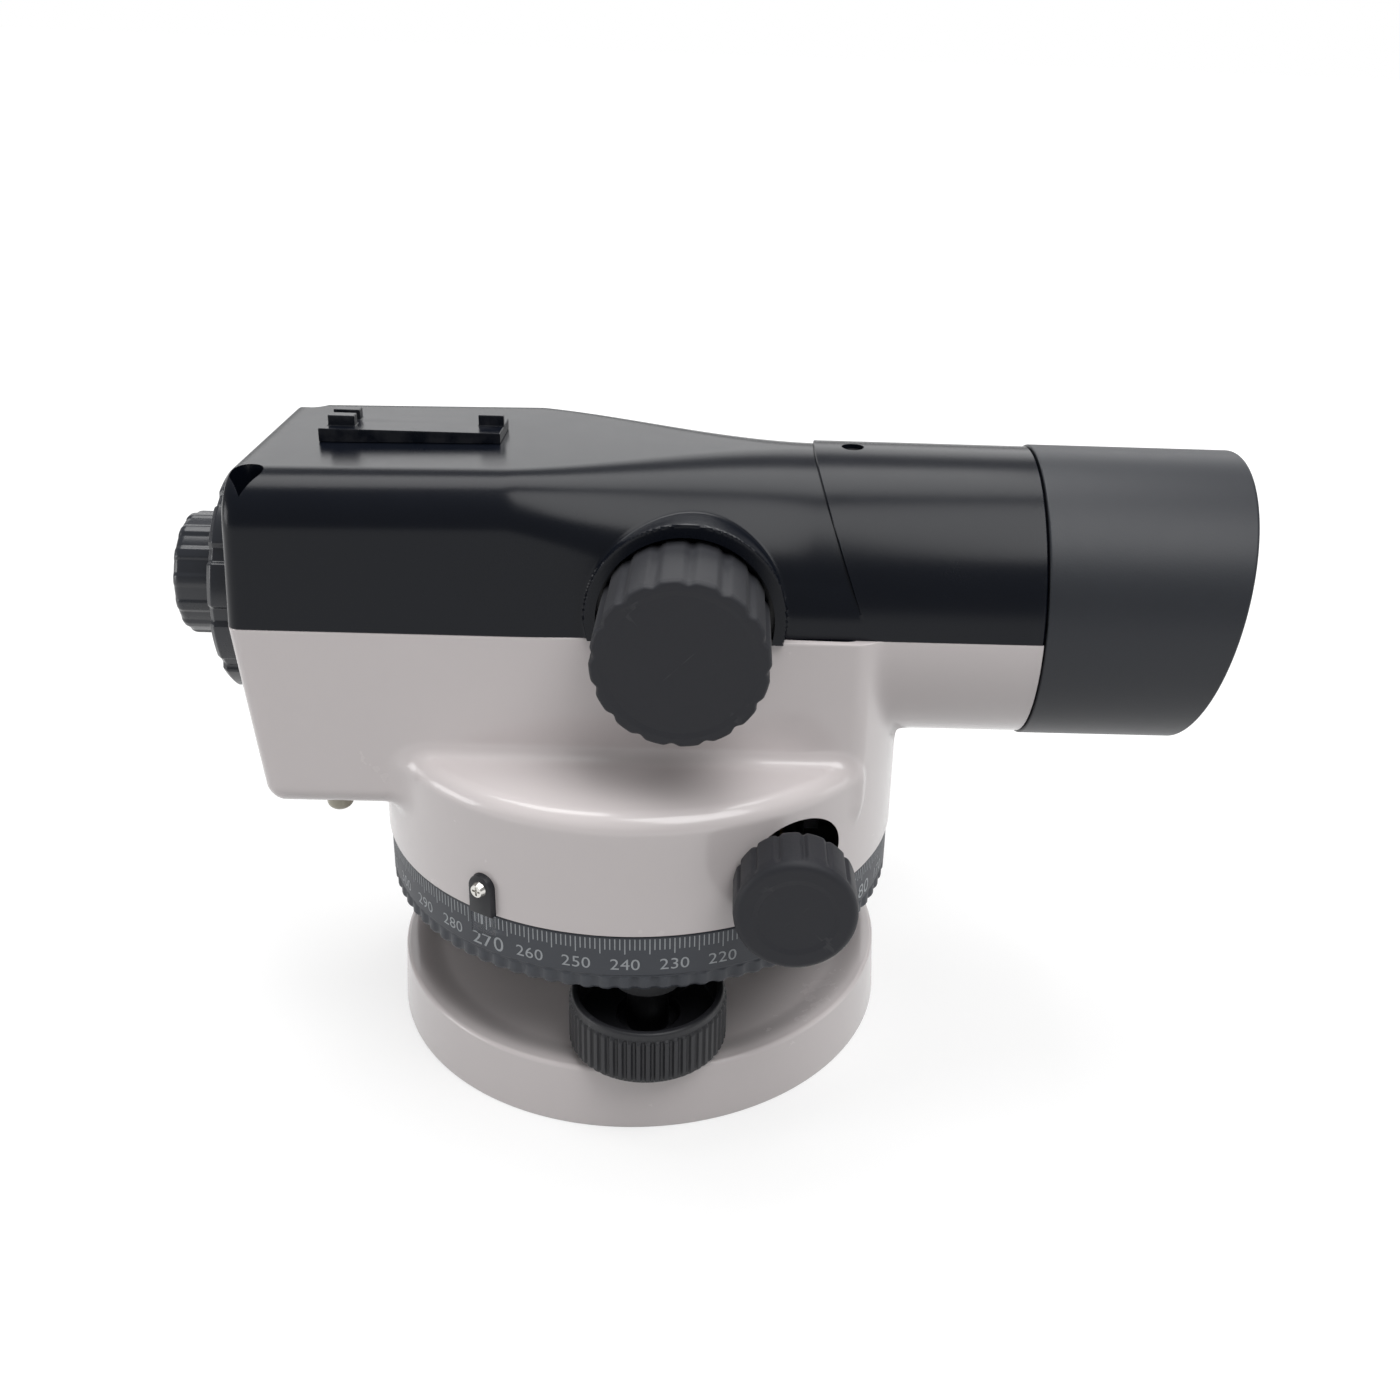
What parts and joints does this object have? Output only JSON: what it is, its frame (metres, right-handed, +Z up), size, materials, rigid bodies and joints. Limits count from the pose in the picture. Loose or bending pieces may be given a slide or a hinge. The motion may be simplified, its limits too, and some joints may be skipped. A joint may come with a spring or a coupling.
{
  "type": "optical level",
  "caption": "Surveying auto level: telescope on a turning base with levelling screws, graduated circle, focusing and fine-motion knobs.",
  "frame": {"origin": "on the vertical axis, at the flat underside of the base plate, in the mouth of the tripod thread", "axes": "+Z up along the vertical axis, +X along the telescope towards the objective, -Y the side with the focusing knob"},
  "size_m": [0.2056, 0.12, 0.1264],
  "materials": {
    "white_paint": "light grey-white gloss paint",
    "black_paint": "satin charcoal paint",
    "circle_black": "dark grey-blue anodised, light grey figures",
    "knob_rubber": "matt dark grey",
    "eyepiece_plastic": "satin near-black",
    "bare_steel": "bare steel",
    "spring_steel": "spring steel",
    "black_screw": "blackened steel",
    "bright_screw": "nickel plated",
    "brass": "turned brass",
    "head_metal": "dark satin paint",
    "inner_metal": "bare machined",
    "black_metal": "matt black anodised",
    "optic": "coated optical glass",
    "window": "clear acrylic",
    "vial": "vial with yellow-green spirit",
    "mirror": "silvered"
  },
  "bodies": {
    "base": {"base_plate": "white_paint", "spring_plate": "spring_steel", "spring_plate_screws": "black_screw"},
    "head": {"levelling_head": "head_metal", "foot_bushes": "brass", "rear_foot_balls": "brass", "circle_spring": "spring_steel", "wheel_spring": "spring_steel", "wheel_nut": "bare_steel"},
    "front_ball": {"front_foot_ball": "brass"},
    "front_screw": {"front_foot_screw": "bare_steel", "front_foot_knob": "knob_rubber"},
    "left_screw": {"left_foot_screw": "bare_steel", "left_foot_knob": "knob_rubber"},
    "right_screw": {"right_foot_screw": "bare_steel", "right_foot_knob": "knob_rubber"},
    "circle": {"horizontal_circle": "circle_black"},
    "wheel": {"worm_wheel": "brass"},
    "alidade": {"housing": "white_paint", "top_cover": "black_paint", "cover_screws": "black_screw", "lock_screw": "black_screw", "gun_sight": "black_paint", "spindle": "bare_steel", "spindle_nut": "bare_steel", "inner_screws": "black_screw", "worm_bracket": "inner_metal", "worm_bushes": "brass", "index_holder": "black_metal", "index_window": "window", "index_screw": "bright_screw", "focus_bush": "brass", "guide_rods": "bare_steel", "objective_barrel": "black_metal", "objective_lens": "optic", "sunshade": "black_paint", "compensator_frame": "inner_metal", "fixed_prisms": "optic", "damper_magnet": "bare_steel", "eyepiece_tube": "black_metal", "eyepiece_cover": "eyepiece_plastic", "reticle": "optic", "button_spring": "spring_steel", "level_cup": "eyepiece_plastic", "level_vial": "vial"},
    "worm": {"worm_shaft": "bare_steel", "near_tangent_knob": "knob_rubber", "far_tangent_knob": "knob_rubber"},
    "focus_drive": {"focus_shaft": "bare_steel", "focus_knob": "knob_rubber"},
    "focus_slide": {"focus_carriage": "inner_metal", "focus_lens": "optic"},
    "dioptre": {"dioptre_ring": "eyepiece_plastic"},
    "ocular": {"ocular_barrel": "black_metal", "eye_lens": "optic"},
    "pendulum": {"pendulum": "inner_metal", "pendulum_prism": "optic"},
    "check_button": {"check_button": "bright_screw"},
    "level_mirror": {"mirror_frame": "eyepiece_plastic", "mirror_glass": "mirror"}
  },
  "joints": [
    {"name": "head_tilt", "type": "hinge", "parent": "base", "child": "head", "pos_m": [-0.00181, 0.02067, 0.009], "axis": [-0.9962, -0.0871, 0], "range_deg": [-1.9, 1.9]},
    {"name": "front_screw_feed", "type": "slide", "parent": "head", "child": "front_ball", "axis": [0, 0, 1], "range_m": [-0.0022, 0.0022]},
    {"name": "front_screw_turn", "type": "hinge", "parent": "front_ball", "child": "front_screw", "pos_m": [0.00362, -0.04134, 0.009], "axis": [0, 0, 1], "range_deg": [-600, 600]},
    {"name": "left_screw_turn", "type": "hinge", "parent": "head", "child": "left_screw", "pos_m": [-0.03761, 0.01754, 0.009], "axis": [0, 0, 1], "range_deg": [-600, 600]},
    {"name": "right_screw_turn", "type": "hinge", "parent": "head", "child": "right_screw", "pos_m": [0.03399, 0.0238, 0.009], "axis": [0, 0, 1], "range_deg": [-600, 600]},
    {"name": "circle_turn", "type": "hinge", "parent": "head", "child": "circle", "pos_m": [0, 0, 0.042], "axis": [0, 0, 1], "continuous": true},
    {"name": "coarse_turn", "type": "hinge", "parent": "head", "child": "wheel", "pos_m": [0, 0, 0.0547], "axis": [0, 0, 1], "continuous": true},
    {"name": "fine_turn", "type": "hinge", "parent": "wheel", "child": "alidade", "pos_m": [0, 0, 0.0547], "axis": [0, 0, 1], "continuous": true},
    {"name": "tangent_turn", "type": "hinge", "parent": "alidade", "child": "worm", "pos_m": [0.03031, 0, 0.0547], "axis": [0, 1, 0], "continuous": true},
    {"name": "focus_turn", "type": "hinge", "parent": "alidade", "child": "focus_drive", "pos_m": [0.0093, -0.04, 0.0976], "axis": [0, 1, 0], "range_deg": [-185, 185]},
    {"name": "focus_feed", "type": "slide", "parent": "alidade", "child": "focus_slide", "axis": [1, 0, 0], "range_m": [-0.012, 0.012]},
    {"name": "dioptre_turn", "type": "hinge", "parent": "alidade", "child": "dioptre", "pos_m": [-0.084, 0, 0.0927], "axis": [1, 0, 0], "range_deg": [-130, 130]},
    {"name": "dioptre_feed", "type": "slide", "parent": "alidade", "child": "ocular", "axis": [1, 0, 0], "range_m": [-0.0015, 0.0015]},
    {"name": "pendulum_swing", "type": "hinge", "parent": "alidade", "child": "pendulum", "pos_m": [-0.034, 0, 0.111], "axis": [0, 1, 0], "range_deg": [-0.5, 0.5]},
    {"name": "check_press", "type": "slide", "parent": "alidade", "child": "check_button", "axis": [0, 0, 1], "range_m": [0, 0.0015], "stiffness_N_per_m": 400, "springref_m": -0.0015, "deforming": ["button_spring"]},
    {"name": "mirror_tilt", "type": "hinge", "parent": "alidade", "child": "level_mirror", "pos_m": [-0.002, 0.034, 0.0845], "axis": [1, 0, 0], "range_deg": [-45, 42]}
  ],
  "couplings": [
    {"joint": "front_screw_turn", "follows": "head_tilt", "ratio": -312.9},
    {"joint": "front_screw_feed", "follows": "head_tilt", "m_per_rad": -0.06225},
    {"joint": "tangent_turn", "follows": "fine_turn", "ratio": 77},
    {"joint": "focus_feed", "follows": "focus_turn", "m_per_rad": -0.0036},
    {"joint": "dioptre_feed", "follows": "dioptre_turn", "m_per_rad": 0.000637}
  ]
}
